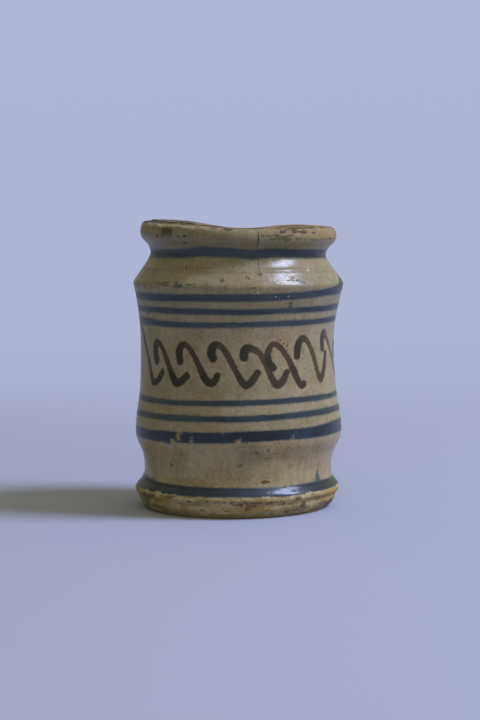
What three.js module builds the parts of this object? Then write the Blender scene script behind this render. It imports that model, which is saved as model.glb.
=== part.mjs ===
// Albarello: a waisted drug jar of tin-glazed earthenware, thrown on the wheel in one piece,
// turned at the foot, and coated outside and inside with separate pourings of glaze.
// Millimetres, +Z up, and the front faces -Y. The origin lies on the table, under the middle of the jar.
import * as THREE from "three";

// Driving dimensions of the fired clay, level by level. A radius is the outside of the wall, and a height
// is above the table. A hand-thrown wall is never quite true, so each level's centre stands a little off
// the axis, to +X. below and above say how far the wall keeps near this radius, as a part of the way to
// the next level. A fillet is the height of the corner that a hollow curve bends towards.
const foot = { radius: 47.1, height: 0, centre: -0.8, edge: 1.0 };
const standingRing = { width: 8.5, recess: 2.2, recessSlope: 6.0 };
const flange = { radius: 51.7, height: 10.1, centre: -0.85, under: 7.1, over: 11.2, rounding: 1.3 };
const undercut = 2.2;
const hollow = { radius: 47.5, height: 20.0, centre: -0.35, above: 0.6, fillet: 15.5 };
const lowerShoulder = { radius: 52.3, height: 39.5, centre: 0.15, below: 0.36, above: 0.3 };
const waist = { radius: 48.9, height: 85.8, centre: -0.25, below: 0.77, above: 0.42 };
const upperShoulder = { radius: 53.2, height: 114.6, centre: 0.55, below: 0.02, above: 0.1 };
const neck = { radius: 44.2, height: 129.4, centre: 0.5, below: 0.22, fillet: 133.0 };
const lip = { radius: 49.5, height: 139.4, centre: 0.7, under: 136.0, over: 143.6, top: 144.9 };
const lipEdge = { under: 1.6, over: 2.3, mouth: 0.8 };

const wall = { thickness: 5.6, neckThickness: 5.2 };
const floor = { height: 8.0, hollow: 0.6, heelRadius: 11.0, heelSlope: 1.2 };

// The two coats of glaze. The outer one starts above the foot, and between them the lip's worn top is bare
// clay, crowned a little.
const glaze = { thickness: 0.45, clearance: 0.15, footLine: 8.6 };
const wornLip = { fromEdge: 3.4, fromBore: 2.6, crown: 0.3, bore: 41.6 };

// How far the soft wall sank before it was fired. The +X side leans down, and the lip dips at the front
// and, more, at the back.
const lean = { start: 60.0, atLip: 1.55, growth: 3.0 };
const dip = { start: 131.0, front: 1.9, back: 3.2, growth: 1.5, narrowness: 8.5 };

const segments = 44;

const clay = { color: 0x8f7a5c, roughness: 0.9, metalness: 0 };
const tinGlaze = { color: 0x9a8f73, roughness: 0.25, metalness: 0 };
const insideGlaze = { color: 0xa39a80, roughness: 0.3, metalness: 0 };

const at = (radius, height) => new THREE.Vector2(radius, height);

// A stretch of wall from one level to the next, upright at both ends as the thrower's hands leave it.
function swell(path, from, to, steps) {
  const start = path.at(-1);
  const rise = to.height - start.y;
  const curve = new THREE.CubicBezierCurve(
    start,
    at(start.x, start.y + rise * from.above),
    at(to.radius, to.height - rise * to.below),
    at(to.radius, to.height),
  );
  path.push(...curve.getPoints(steps).slice(1));
}

// A stretch bent towards one corner, for the edges that a tool or a thumb turned.
function bend(path, corner, end, steps) {
  const curve = new THREE.QuadraticBezierCurve(path.at(-1), corner, end);
  path.push(...curve.getPoints(steps).slice(1));
}

// The turned foot, and the flange that stands out above it over a slight undercut.
function footOutline() {
  const path = [at(foot.radius - foot.edge, 0)];
  const shoulder = flange.radius - flange.rounding;
  bend(path, at(foot.radius, 0), at(foot.radius + foot.edge / 2, foot.edge), 2);
  bend(path, at(flange.radius - undercut, flange.under / 2), at(shoulder, flange.under), 2);
  bend(path, at(flange.radius, flange.under + flange.rounding), at(flange.radius, flange.height), 2);
  bend(path, at(flange.radius, flange.over), at(shoulder, flange.over + flange.rounding), 2);
  bend(path, at(hollow.radius, hollow.fillet), at(hollow.radius, hollow.height), 3);
  return path;
}

// The outside of the clay, from the ring it stands on up to the outer edge of the lip's top.
function outerOutline() {
  const path = footOutline();
  swell(path, hollow, lowerShoulder, 5);
  swell(path, lowerShoulder, waist, 5);
  swell(path, waist, upperShoulder, 6);
  swell(path, upperShoulder, neck, 5);
  bend(path, at(neck.radius, neck.fillet), at(lip.radius - lipEdge.under, lip.under), 3);
  bend(path, at(lip.radius, lip.under + lipEdge.under), at(lip.radius, lip.height), 2);
  bend(path, at(lip.radius, lip.over), at(lip.radius - lipEdge.over, lip.top - lipEdge.over / 3), 2);
  return path;
}

// The lip's top, where the glaze is worn away, crowned between its outer edge and the mouth.
function lipOutline(start) {
  const path = [start];
  const corner = at(lip.radius - wornLip.fromEdge, lip.top + wornLip.crown);
  bend(path, corner, at(wornLip.bore + wornLip.fromBore, lip.top - wornLip.crown), 3);
  return path;
}

// The inside of the clay, from the mouth down to the middle of the floor.
function innerOutline(start) {
  const path = [start];
  const turned = { above: 0.4, below: 0.3 };
  const level = (radius, height) => ({ ...turned, radius, height });
  const inside = (outer, thickness = wall.thickness) => level(outer.radius - thickness, outer.height);
  const heel = level(hollow.radius - wall.thickness, floor.height + floor.heelRadius);
  bend(path, at(wornLip.bore, lip.top - wornLip.crown), at(wornLip.bore - lipEdge.mouth, lip.height), 2);
  swell(path, turned, inside(neck, wall.neckThickness), 2);
  swell(path, turned, inside(upperShoulder), 3);
  swell(path, turned, inside(waist), 3);
  swell(path, turned, inside(lowerShoulder), 3);
  swell(path, turned, heel, 2);
  const heelEnd = at(heel.radius - floor.heelRadius, floor.height);
  bend(path, at(heel.radius - floor.heelSlope, floor.height), heelEnd, 3);
  path.push(at(0, floor.height - floor.hollow));
  return path;
}

// The underside: the shallow recess that the turning tool left inside the ring that the jar stands on.
function undersideOutline() {
  const ringInside = foot.radius - standingRing.width;
  const middle = at(ringInside - standingRing.recessSlope, standingRing.recess);
  return [at(0, standingRing.recess), middle, at(ringInside, 0)];
}

// The same outline moved along its own normals. A positive distance moves it to the right of its direction.
function moved(outline, distance) {
  return outline.map((point, i) => {
    const before = outline[Math.max(i - 1, 0)];
    const after = outline[Math.min(i + 1, outline.length - 1)];
    const arriving = point.clone().sub(before).normalize();
    const leaving = after.clone().sub(point).normalize();
    const along = arriving.add(leaving).normalize();
    const shift = at(along.y, -along.x).multiplyScalar(distance);
    return point.x === 0 ? at(0, point.y + shift.y) : point.clone().add(shift);
  });
}

// A coat of glaze over a stretch of the clay: its inner face clears the clay, and its outer face shows.
function coat(outline) {
  const inner = moved(outline, glaze.clearance);
  const outer = moved(outline, glaze.clearance + glaze.thickness);
  return [...outer, ...inner.reverse()];
}

// How far the wall's centre stands off the axis at this height, eased from level to level.
function wander(height) {
  const levels = [foot, flange, hollow, lowerShoulder, waist, upperShoulder, neck, lip];
  const upper = levels.findIndex((level) => level.height >= height);
  if (upper < 1) return upper === 0 ? foot.centre : lip.centre;
  const [from, to] = [levels[upper - 1], levels[upper]];
  const eased = THREE.MathUtils.smoothstep(height, from.height, to.height);
  return THREE.MathUtils.lerp(from.centre, to.centre, eased);
}

// How far a point at this angle and height sank.
function sunk(angle, height) {
  const leaning = Math.max(0, (height - lean.start) / (lip.height - lean.start));
  const nearTop = Math.max(0, (height - dip.start) / (lip.top - dip.start));
  const leaned = lean.atLip * Math.cos(angle) * leaning ** lean.growth;
  const atTop = Math.sin(angle) < 0 ? dip.front : dip.back;
  const dipped = atTop * Math.abs(Math.sin(angle)) ** dip.narrowness * nearTop ** dip.growth;
  return leaned + dipped;
}

// Turns a closed outline about the jar's axis, and lets the wall wander and sink.
function thrown(name, outline, finish) {
  const closed = outline[0].x === 0 ? outline : [...outline, outline[0].clone()];
  const geometry = new THREE.LatheGeometry(closed, segments);
  geometry.rotateX(Math.PI / 2);
  const position = geometry.getAttribute("position");
  for (let i = 0; i < position.count; i++) {
    const [x, y, z] = [position.getX(i), position.getY(i), position.getZ(i)];
    position.setXYZ(i, x + wander(z), y, z - sunk(Math.atan2(y, x), z));
  }
  geometry.computeVertexNormals();
  const mesh = new THREE.Mesh(geometry, new THREE.MeshStandardMaterial(finish));
  mesh.name = name;
  return mesh;
}

const outside = outerOutline();
const lipTop = lipOutline(outside.at(-1));
const inside = innerOutline(lipTop.at(-1));
const bodyOutline = [...undersideOutline(), ...outside, ...lipTop.slice(1), ...inside.slice(1)];

const jar = new THREE.Group();
jar.add(
  thrown("clay_body", bodyOutline, clay),
  thrown("outer_glaze", coat(outside.filter((point) => point.y >= glaze.footLine)), tinGlaze),
  thrown("inner_glaze", coat(inside), insideGlaze),
);

export default jar;
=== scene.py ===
# A waisted drug jar in tin-glazed earthenware, painted with blue bands and a row of brown scrolls.
# In the settings, lengths are millimetres and angles are degrees round the jar, from the front towards +X.
import math

import bpy
import numpy as np
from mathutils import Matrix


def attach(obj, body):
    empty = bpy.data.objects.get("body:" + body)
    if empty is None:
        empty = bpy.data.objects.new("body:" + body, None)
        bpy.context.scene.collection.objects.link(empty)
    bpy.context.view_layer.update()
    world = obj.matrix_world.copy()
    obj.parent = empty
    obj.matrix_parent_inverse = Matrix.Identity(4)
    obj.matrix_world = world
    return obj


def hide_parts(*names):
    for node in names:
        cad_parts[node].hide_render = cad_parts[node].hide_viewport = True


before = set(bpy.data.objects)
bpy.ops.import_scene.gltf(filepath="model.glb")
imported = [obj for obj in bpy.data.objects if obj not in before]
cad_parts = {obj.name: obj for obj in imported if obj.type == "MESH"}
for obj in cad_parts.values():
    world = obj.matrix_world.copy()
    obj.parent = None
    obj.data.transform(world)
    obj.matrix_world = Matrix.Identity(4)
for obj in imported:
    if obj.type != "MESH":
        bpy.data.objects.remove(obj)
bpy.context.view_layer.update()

millimetre = 0.001

# The thrown wall, level by level, as the frame has it: the clay's radius, the height, and how far the
# level's centre stands off the axis. below and above say how far the wall keeps near this radius.
wallLevels = {
    "foot": {"radius": 47.1, "height": 0.0, "centre": -0.8},
    "flange": {"radius": 51.7, "height": 10.1, "centre": -0.85},
    "hollow": {"radius": 47.5, "height": 20.0, "centre": -0.35, "above": 0.6, "fillet": 15.5},
    "lowerShoulder": {"radius": 52.3, "height": 39.5, "centre": 0.15, "below": 0.36, "above": 0.3},
    "waist": {"radius": 48.9, "height": 85.8, "centre": -0.25, "below": 0.77, "above": 0.42},
    "upperShoulder": {"radius": 53.2, "height": 114.6, "centre": 0.55, "below": 0.02, "above": 0.1},
    "neck": {"radius": 44.2, "height": 129.4, "centre": 0.5, "below": 0.22, "fillet": 133.0},
    "lip": {"radius": 49.5, "height": 139.4, "centre": 0.7},
}

# The turned edges, the wall's thickness, the coats of glaze, and how far the soft wall sank.
turning = {
    "footEdge": 1.0, "ringWidth": 8.5, "recess": 2.2, "recessSlope": 6.0,
    "flangeUnder": 7.1, "flangeOver": 11.2, "flangeRounding": 1.3, "undercut": 1.0,
    "lipUnder": 136.0, "lipOver": 143.6, "lipTop": 144.9, "underEdge": 1.6, "overEdge": 2.3, "mouthEdge": 0.8,
    "mouth": 41.6, "wornFromEdge": 3.4, "wornFromMouth": 2.6, "lipCrown": 0.3,
    "thickness": 5.6, "neckThickness": 5.2, "floor": 8.0, "floorHollow": 0.6, "heelRadius": 11.0, "heelSlope": 1.2,
    "innerAbove": 0.4, "innerBelow": 0.3,
    "glaze": 0.45, "clearance": 0.15, "glazeLine": 8.6,
    "leanStart": 60.0, "leanAtLip": 1.55, "leanGrowth": 3.0,
    "dipStart": 131.0, "dipFront": 1.9, "dipBack": 3.2, "dipGrowth": 1.5, "dipNarrowness": 8.5,
    "around": 352,          # points round the jar
    "uneven": 0.16,         # how far the thrower's hands left the wall from true
    "unevenSize": 34.0,
    "ridge": 0.07,          # the finger ridges outside, which the inside has deeper
    "ridgePitch": 5.5,
    "crust": 0.95,          # the rough glaze and clay at the foot
    "crustSize": 3.2,
    "crustTop": 11.0,
    "crustFade": 1.2,       # over which height it thins out
    "stillBelow": 0.3,      # below which the foot stays flat
    "looseOver": 0.8,
    "seed": 3.0,
    "weld": 0.01,           # closer points than this are one
    "slack": 0.03,          # how far a hidden outline may stray from the true one
    "longest": 5.0,         # the longest step of a hidden outline
    "rings": {"underside": 32, "foot": 34, "lip": 18, "outerCoat": 186, "innerCoat": 150},
}


def bend(path, *corners, steps=24):  # a Bezier curve from the path's last point through its corners
    controls = np.array([path[-1], *corners], dtype=float)
    order = len(controls) - 1
    for t in np.linspace(0.0, 1.0, steps + 1)[1:]:
        weights = [math.comb(order, k) * t**k * (1 - t) ** (order - k) for k in range(order + 1)]
        path.append(tuple(np.dot(weights, controls)))


def swell(path, leave, radius, height, arrive, steps=48):  # a stretch of wall that is upright at both ends
    startRadius, startHeight = path[-1]
    rise = height - startHeight
    corners = (startRadius, startHeight + rise * leave), (radius, height - rise * arrive), (radius, height)
    bend(path, *corners, steps=steps)


def outsideOutline():
    t = turning
    foot, flange, hollow, neck, lip = (wallLevels[name] for name in ("foot", "flange", "hollow", "neck", "lip"))
    shoulder = flange["radius"] - t["flangeRounding"]
    over = t["flangeOver"]
    path = [(foot["radius"] - t["footEdge"], 0.0)]
    bend(path, (foot["radius"], 0.0), (foot["radius"] + t["footEdge"] / 2, t["footEdge"]), steps=8)
    bend(path, (flange["radius"] - t["undercut"], t["flangeUnder"] / 2), (shoulder, t["flangeUnder"]))
    bend(path, (flange["radius"], t["flangeUnder"] + t["flangeRounding"]), (flange["radius"], flange["height"]))
    bend(path, (flange["radius"], over), (shoulder, over + t["flangeRounding"]))
    bend(path, (hollow["radius"], hollow["fillet"]), (hollow["radius"], hollow["height"]))
    levels = [wallLevels[name] for name in ("hollow", "lowerShoulder", "waist", "upperShoulder", "neck")]
    for start, end in zip(levels, levels[1:]):
        swell(path, start["above"], end["radius"], end["height"], end["below"])
    bend(path, (neck["radius"], neck["fillet"]), (lip["radius"] - t["underEdge"], t["lipUnder"]))
    bend(path, (lip["radius"], t["lipUnder"] + t["underEdge"]), (lip["radius"], lip["height"]))
    bend(path, (lip["radius"], t["lipOver"]), (lip["radius"] - t["overEdge"], t["lipTop"] - t["overEdge"] / 3))
    return path


def lipOutline(start):  # the lip's worn top
    t = turning
    path = [start]
    corner = (wallLevels["lip"]["radius"] - t["wornFromEdge"], t["lipTop"] + t["lipCrown"])
    bend(path, corner, (t["mouth"] + t["wornFromMouth"], t["lipTop"] - t["lipCrown"]))
    return path


def insideOutline(start):
    t = turning
    path = [start]
    lipHeight = wallLevels["lip"]["height"]
    bend(path, (t["mouth"], t["lipTop"] - t["lipCrown"]), (t["mouth"] - t["mouthEdge"], lipHeight))
    for name in ("neck", "upperShoulder", "waist", "lowerShoulder"):
        level = wallLevels[name]
        radius = level["radius"] - (t["neckThickness"] if name == "neck" else t["thickness"])
        swell(path, t["innerAbove"], radius, level["height"], t["innerBelow"])
    heel = wallLevels["hollow"]["radius"] - t["thickness"]
    swell(path, t["innerAbove"], heel, t["floor"] + t["heelRadius"], t["innerBelow"])
    bend(path, (heel - t["heelSlope"], t["floor"]), (heel - t["heelRadius"], t["floor"]))
    path.append((0.0, t["floor"] - t["floorHollow"]))
    return path


def moved(path, distance):  # the same outline moved along its normals, to the right of its direction
    points = np.array(path)
    steps = np.diff(points, axis=0)
    steps /= np.linalg.norm(steps, axis=1, keepdims=True)
    along = np.vstack([steps[:1], steps[:-1] + steps[1:], steps[-1:]])
    along /= np.linalg.norm(along, axis=1, keepdims=True)
    shifted = points + distance * np.column_stack([along[:, 1], -along[:, 0]])
    shifted[points[:, 0] == 0.0, 0] = 0.0
    return shifted


def evenly(path, count):  # the outline again, with its points at even steps
    points = np.array(path)
    run = np.concatenate([[0.0], np.cumsum(np.linalg.norm(np.diff(points, axis=0), axis=1))])
    steps = np.linspace(0.0, run[-1], count)
    return np.column_stack([np.interp(steps, run, points[:, k]) for k in (0, 1)])


def fewer(points, slack):  # only the points that keep the outline within slack of itself
    start, run = points[0], points[-1] - points[0]
    away = np.abs(run[0] * (points[:, 1] - start[1]) - run[1] * (points[:, 0] - start[0])) / np.hypot(*run)
    far = int(away.argmax())
    if away[far] < slack:
        return points[[0, -1]]
    return np.vstack([fewer(points[:far + 1], slack)[:-1], fewer(points[far:], slack)])


def fitted(path):  # close points where the outline bends, and no steps over the longest
    kept = fewer(np.array(path), turning["slack"])
    rows = [kept[:1]]
    for start, end in zip(kept[:-1], kept[1:]):
        count = math.ceil(np.hypot(*(end - start)) / turning["longest"])
        rows.append(start + (end - start) * (np.arange(1, count + 1) / count)[:, None])
    return np.vstack(rows)


def coatOf(path, rings):  # a coat of glaze: its face, and its back on the clay
    face = evenly(moved(path, turning["clearance"] + turning["glaze"]), rings)
    back = fitted(moved(path, turning["clearance"]))[::-1]
    return np.vstack([face, back, face[:1]])


outside = outsideOutline()
lipTop = lipOutline(outside[-1])
inside = insideOutline(lipTop[-1])
footPart = [p for p in outside if p[1] < turning["glazeLine"]]
glazedPart = [p for p in outside if p[1] >= turning["glazeLine"]]


wiring = {"tree": None}  # the node tree that the functions below write into


def opened(tree):
    wiring["tree"] = tree
    return tree


def node(kind, inputs=None, **settings):  # a node with its settings, and its inputs linked or set
    tree = wiring["tree"]
    made = tree.nodes.new(kind)
    for name, value in settings.items():
        setattr(made, name, value)
    for key, value in (inputs or {}).items():
        if isinstance(value, bpy.types.NodeSocket):
            tree.links.new(value, made.inputs[key])
        else:
            made.inputs[key].default_value = value
    return made


def calc(operation, *values):
    return node("ShaderNodeMath", dict(enumerate(values)), operation=operation).outputs[0]


def times(first, second):
    return calc("MULTIPLY", first, second)


def groupInputs(sockets):  # each input's default number, or its kind where it has none
    for name, value in sockets.items():
        kind = value if isinstance(value, str) else type(value).__name__.title()
        socket = wiring["tree"].interface.new_socket(name, in_out="INPUT", socket_type="NodeSocket" + kind)
        if kind != value:
            socket.default_value = value
    return node("NodeGroupInput").outputs


outputKinds = {"VALUE": "Float", "RGBA": "Color", "GEOMETRY": "Geometry"}


def groupOutputs(values):
    for name, value in values.items():
        kind = "NodeSocket" + outputKinds[value.type]
        wiring["tree"].interface.new_socket(name, in_out="OUTPUT", socket_type=kind)
    node("NodeGroupOutput", values)


# Geometry Nodes: turns an outline about the axis, lets it wander and sink, and leaves the marks of the hands.
def buildTurningTree():
    tree = opened(bpy.data.node_groups.new("turnedWall", "GeometryNodeTree"))
    given = groupInputs({
        "Outline": "Geometry", "Around": 480, "Dip Narrowness": 8.5, "Dip Front": 0.002, "Dip Back": 0.003,
        "Uneven": 0.0, "Uneven Size": 0.03, "Ridge": 0.0, "Ridge Pitch": 0.005, "Crust": 0.0, "Crust Size": 0.002,
        "Seed": 3.0, "Weld": 0.00001, "Finish": "Material",
    })
    rings = node("GeometryNodeAttributeDomainSize", {0: given["Outline"]}).outputs["Point Count"]
    columns = calc("ADD", given["Around"], 1.0)
    grid = node("GeometryNodeMeshGrid", {"Vertices X": columns, "Vertices Y": rings}).outputs["Mesh"]
    index = node("GeometryNodeInputIndex").outputs[0]
    ring = calc("FLOORED_MODULO", index, rings)
    column = calc("FLOOR", calc("DIVIDE", calc("ADD", index, 0.5), rings))
    turn = calc("DIVIDE", column, given["Around"])
    angle = times(turn, 2.0 * math.pi)

    def onOutline(value, kind="FLOAT"):
        return node("GeometryNodeSampleIndex", {0: given["Outline"], 1: value, 2: ring}, data_type=kind).outputs[0]

    def named(name):
        return node("GeometryNodeInputNamedAttribute", {"Name": name}, data_type="FLOAT").outputs[0]

    def storing(mesh, name, value):
        inputs = {"Geometry": mesh, "Name": name, "Value": value}
        return node("GeometryNodeStoreNamedAttribute", inputs, data_type="FLOAT", domain="POINT").outputs[0]

    here = node("GeometryNodeInputPosition").outputs[0]
    point = node("ShaderNodeSeparateXYZ", {0: onOutline(here, "FLOAT_VECTOR")}).outputs
    cosine, sine = calc("COSINE", angle), calc("SINE", angle)
    frontAndBack = calc("POWER", calc("ABSOLUTE", sine), given["Dip Narrowness"])
    deeper = times(calc("GREATER_THAN", sine, 0.0), calc("SUBTRACT", given["Dip Back"], given["Dip Front"]))
    depth = times(frontAndBack, calc("ADD", given["Dip Front"], deeper))
    leaned = times(onOutline(named("lean")), cosine)
    dipped = times(onOutline(named("dip")), depth)
    place = node("ShaderNodeCombineXYZ", {
        0: calc("ADD", times(point[0], cosine), onOutline(named("centre"))),
        1: times(point[0], sine),
        2: calc("SUBTRACT", calc("SUBTRACT", point[2], leaned), dipped),
    }).outputs[0]
    mesh = storing(grid, "crusted", onOutline(named("crusted")))
    mesh = storing(mesh, "loose", onOutline(named("loose")))
    mesh = storing(mesh, "turn", turn)
    mesh = node("GeometryNodeSetPosition", {"Geometry": mesh, "Position": place}).outputs[0]
    mesh = node("GeometryNodeMergeByDistance", {"Geometry": mesh, "Distance": given["Weld"]}).outputs[0]

    def roughness(size, detail, seedStep):  # a noise from -1 to 1, whose lumps are about this size
        inputs = {"Vector": here, "W": calc("ADD", given["Seed"], seedStep), "Scale": calc("DIVIDE", 1.0, size),
                  "Detail": detail}
        lump = node("ShaderNodeTexNoise", inputs, noise_dimensions="4D").outputs[0]
        return times(calc("SUBTRACT", lump, 0.5), 2.0)

    climb = calc("ADD", calc("DIVIDE", heightOf(here), given["Ridge Pitch"]), named("turn"))
    ridge = calc("SINE", times(climb, 2.0 * math.pi))
    worked = times(ridge, calc("ABSOLUTE", roughness(given["Uneven Size"], 1.0, 7.0)))
    uneven = times(roughness(given["Uneven Size"], 2.0, 0.0), given["Uneven"])
    crust = times(times(roughness(given["Crust Size"], 4.0, 11.0), given["Crust"]), named("crusted"))
    height = calc("ADD", calc("ADD", uneven, times(worked, given["Ridge"])), crust)
    push = {0: node("GeometryNodeInputNormal").outputs[0], "Scale": times(height, named("loose"))}
    offset = node("ShaderNodeVectorMath", push, operation="SCALE").outputs[0]
    mesh = node("GeometryNodeSetPosition", {"Geometry": mesh, "Offset": offset}).outputs[0]
    mesh = node("GeometryNodeSetShadeSmooth", {0: mesh}).outputs[0]
    mesh = node("GeometryNodeRealizeInstances", {0: mesh}).outputs[0]
    mesh = node("GeometryNodeSetMaterial", {"Geometry": mesh, "Material": given["Finish"]}).outputs[0]
    groupOutputs({"Wall": mesh})
    return tree


def wander(heights):
    levels = list(wallLevels.values())
    centres = np.full(len(heights), levels[-1]["centre"])
    for low, high in zip(levels[-2::-1], levels[:0:-1]):
        part = np.clip((heights - low["height"]) / (high["height"] - low["height"]), 0.0, 1.0)
        eased = low["centre"] + (high["centre"] - low["centre"]) * part * part * (3.0 - 2.0 * part)
        centres = np.where(heights <= high["height"], eased, centres)
    return centres


def added(name, data):  # an object in the scene
    made = bpy.data.objects.new(name, data)
    bpy.context.scene.collection.objects.link(made)
    return made


def turned(name, outline, finish, ridge=1.0):
    t = turning
    heights = outline[:, 1]
    leaning = np.clip((heights - t["leanStart"]) / (wallLevels["lip"]["height"] - t["leanStart"]), 0.0, None)
    nearTop = np.clip((heights - t["dipStart"]) / (t["lipTop"] - t["dipStart"]), 0.0, None)
    values = {
        "centre": wander(heights) * millimetre,
        "lean": t["leanAtLip"] * leaning ** t["leanGrowth"] * millimetre,
        "dip": nearTop ** t["dipGrowth"],
        "crusted": np.clip((t["crustTop"] - heights) / t["crustFade"], 0.0, 1.0),
        "loose": np.clip((heights - t["stillBelow"]) / t["looseOver"], 0.0, 1.0),
    }
    profile = bpy.data.meshes.new(name + "Outline")
    corners = [(radius * millimetre, 0.0, height * millimetre) for radius, height in outline]
    profile.from_pydata(corners, [(k, k + 1) for k in range(len(corners) - 1)], [])
    for key, value in values.items():
        profile.attributes.new(key, "FLOAT", "POINT").data.foreach_set("value", value)
    draft = added(name + "Draft", profile)
    modifier = draft.modifiers.new("Turning", "NODES")
    modifier.node_group = turningTree
    sizes = {"Dip Front": t["dipFront"], "Dip Back": t["dipBack"], "Uneven": t["uneven"],
             "Uneven Size": t["unevenSize"], "Ridge": t["ridge"] * ridge, "Ridge Pitch": t["ridgePitch"],
             "Crust": t["crust"], "Crust Size": t["crustSize"], "Weld": t["weld"]}
    settings = {key: length * millimetre for key, length in sizes.items()}
    settings |= {"Around": t["around"], "Dip Narrowness": t["dipNarrowness"], "Seed": t["seed"], "Finish": finish}
    for item in turningTree.interface.items_tree:
        if item.in_out == "INPUT" and item.name in settings:
            modifier[item.identifier] = settings[item.name]
    evaluated = draft.evaluated_get(bpy.context.evaluated_depsgraph_get())
    mesh = bpy.data.meshes.new_from_object(evaluated)
    mesh.name = name
    draft.modifiers.remove(modifier)
    bpy.data.objects.remove(draft)
    bpy.data.meshes.remove(profile)
    if meshVolume(mesh) < 0.0:
        mesh.flip_normals()
    wearRim(mesh)
    print(name, "has", len(mesh.polygons), "faces")
    return added(name, mesh)


def pointsOf(mesh):  # every vertex, in millimetres
    points = np.empty(len(mesh.vertices) * 3)
    mesh.vertices.foreach_get("co", points)
    return points.reshape(-1, 3) / millimetre


def meshVolume(mesh):
    mesh.calc_loop_triangles()
    corners = np.empty(len(mesh.loop_triangles) * 3, dtype=np.int32)
    mesh.loop_triangles.foreach_get("vertices", corners)
    a, b, c = pointsOf(mesh)[corners.reshape(-1, 3)].transpose(1, 0, 2)
    return np.einsum("ij,ij->i", a, np.cross(b, c)).sum() / 6.0


def angleOf(points):
    return np.degrees(np.arctan2(points[:, 0], -points[:, 1]))


def turnedFrom(angle, start):  # the shorter way round from start to angle
    return (angle - start + 180.0) % 360.0 - 180.0


def anglesAndHeights(mesh):
    points = pointsOf(mesh)
    return angleOf(points), points[:, 2]


def waver(angle, seed, lobes=9):  # a closed hand-made unevenness round the jar, about -1 to 1
    random = np.random.default_rng(seed)
    parts = [random.normal() * np.sin(np.radians(angle) * k + random.uniform(0, 6.28)) / k**0.5
             for k in range(2, 2 + lobes)]
    return sum(parts) / 1.6


# How the lip was knocked and rubbed. From an angle to an angle its outer edge is broken off along a slope,
# which starts at a height on the outside and climbs inwards, and the break is rough.
rimBreaks = [
    {"from": -76, "to": -6, "fade": 12, "start": 145.4, "end": 142.3, "climb": 0.35, "rough": 0.75, "seed": 5},
    {"from": 14, "to": 88, "fade": 12, "start": 142.3, "end": 141.9, "climb": 1, "rough": 0.28, "seed": 8},
    {"from": 130, "to": 196, "fade": 14, "start": 142, "end": 141.4, "climb": 0.7, "rough": 0.35, "seed": 11},
]
brokenShare = 0.9  # how much of what stands over a break is gone


def wearRim(mesh):
    points = pointsOf(mesh)
    angle = angleOf(points)
    lip = wallLevels["lip"]
    outerEdge = lip["radius"] + turning["clearance"] + turning["glaze"]
    inwards = outerEdge - np.hypot(points[:, 0] - lip["centre"], points[:, 1])
    for w in rimBreaks:
        span, seed = w["to"] - w["from"], w["seed"]
        along = (angle - w["from"]) % 360.0
        share = np.clip(along / w["fade"], 0, 1) * np.clip((span - along) / w["fade"], 0, 1)
        chips = np.cos(inwards * 1.9 + waver(angle * 3.0, seed + 2)) * waver(angle * 11.0, seed + 1)
        rough = 0.6 * waver(angle * 5.0, seed) + 0.5 * chips
        level = w["start"] + (w["end"] - w["start"]) * along / span + w["climb"] * inwards + w["rough"] * rough
        points[:, 2] -= np.clip(points[:, 2] - level, 0.0, None) * brokenShare * share
    mesh.vertices.foreach_set("co", (points * millimetre).ravel())
    mesh.update()


# The painting is written on the vertices: how far inside a mark each lies, in millimetres, and never more
# than farOff, and how much colour the brush carried there.
farOff = 9.0


def writeMask(mesh, name, values):
    attribute = mesh.attributes.new(name, "FLOAT", "POINT")
    attribute.data.foreach_set("value", np.asarray(values, dtype=np.float32))


def between(path, angle):  # a height or a load at this angle, from one of its places to the next
    places, values = zip(*path)
    return np.interp(angle, places, values, period=360.0)


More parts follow.
